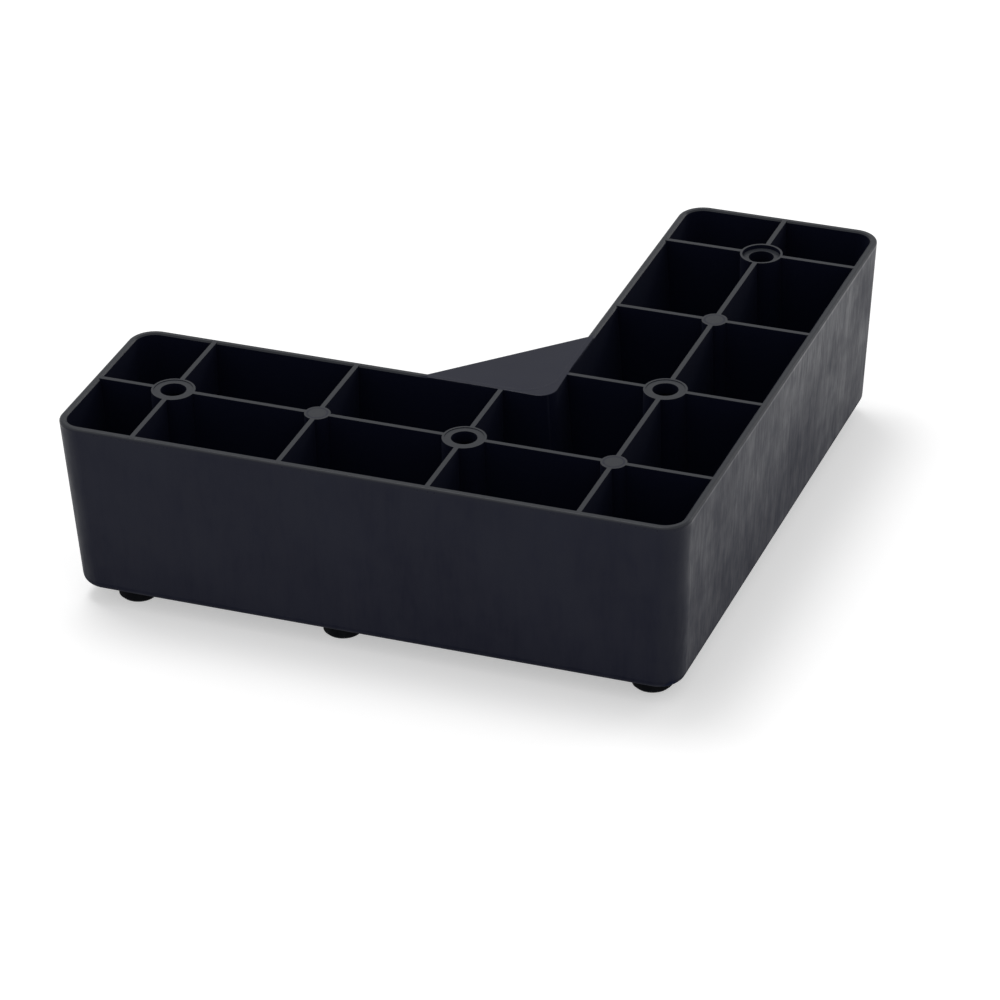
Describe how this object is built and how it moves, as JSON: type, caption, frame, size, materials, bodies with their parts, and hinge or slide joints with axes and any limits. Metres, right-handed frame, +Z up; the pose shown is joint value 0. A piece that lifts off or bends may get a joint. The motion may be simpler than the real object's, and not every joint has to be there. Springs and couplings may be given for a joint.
{
  "type": "corner furniture leg",
  "caption": "L-shaped moulded corner leg for a sofa or cabinet, with an open ribbed top, screw bosses and low floor pads.",
  "frame": {"origin": "centre of the bounding box's foot, on the floor under the pads", "axes": "+Z up from the floor to the mounting face; the outer corner is at +X -Y, one arm runs along -X and the other along +Y"},
  "size_m": [0.16, 0.16, 0.05],
  "materials": {
    "body_plastic": "satin black injection-moulded polypropylene"
  },
  "bodies": {
    "root": {"leg_body": "body_plastic"}
  },
  "joints": []
}
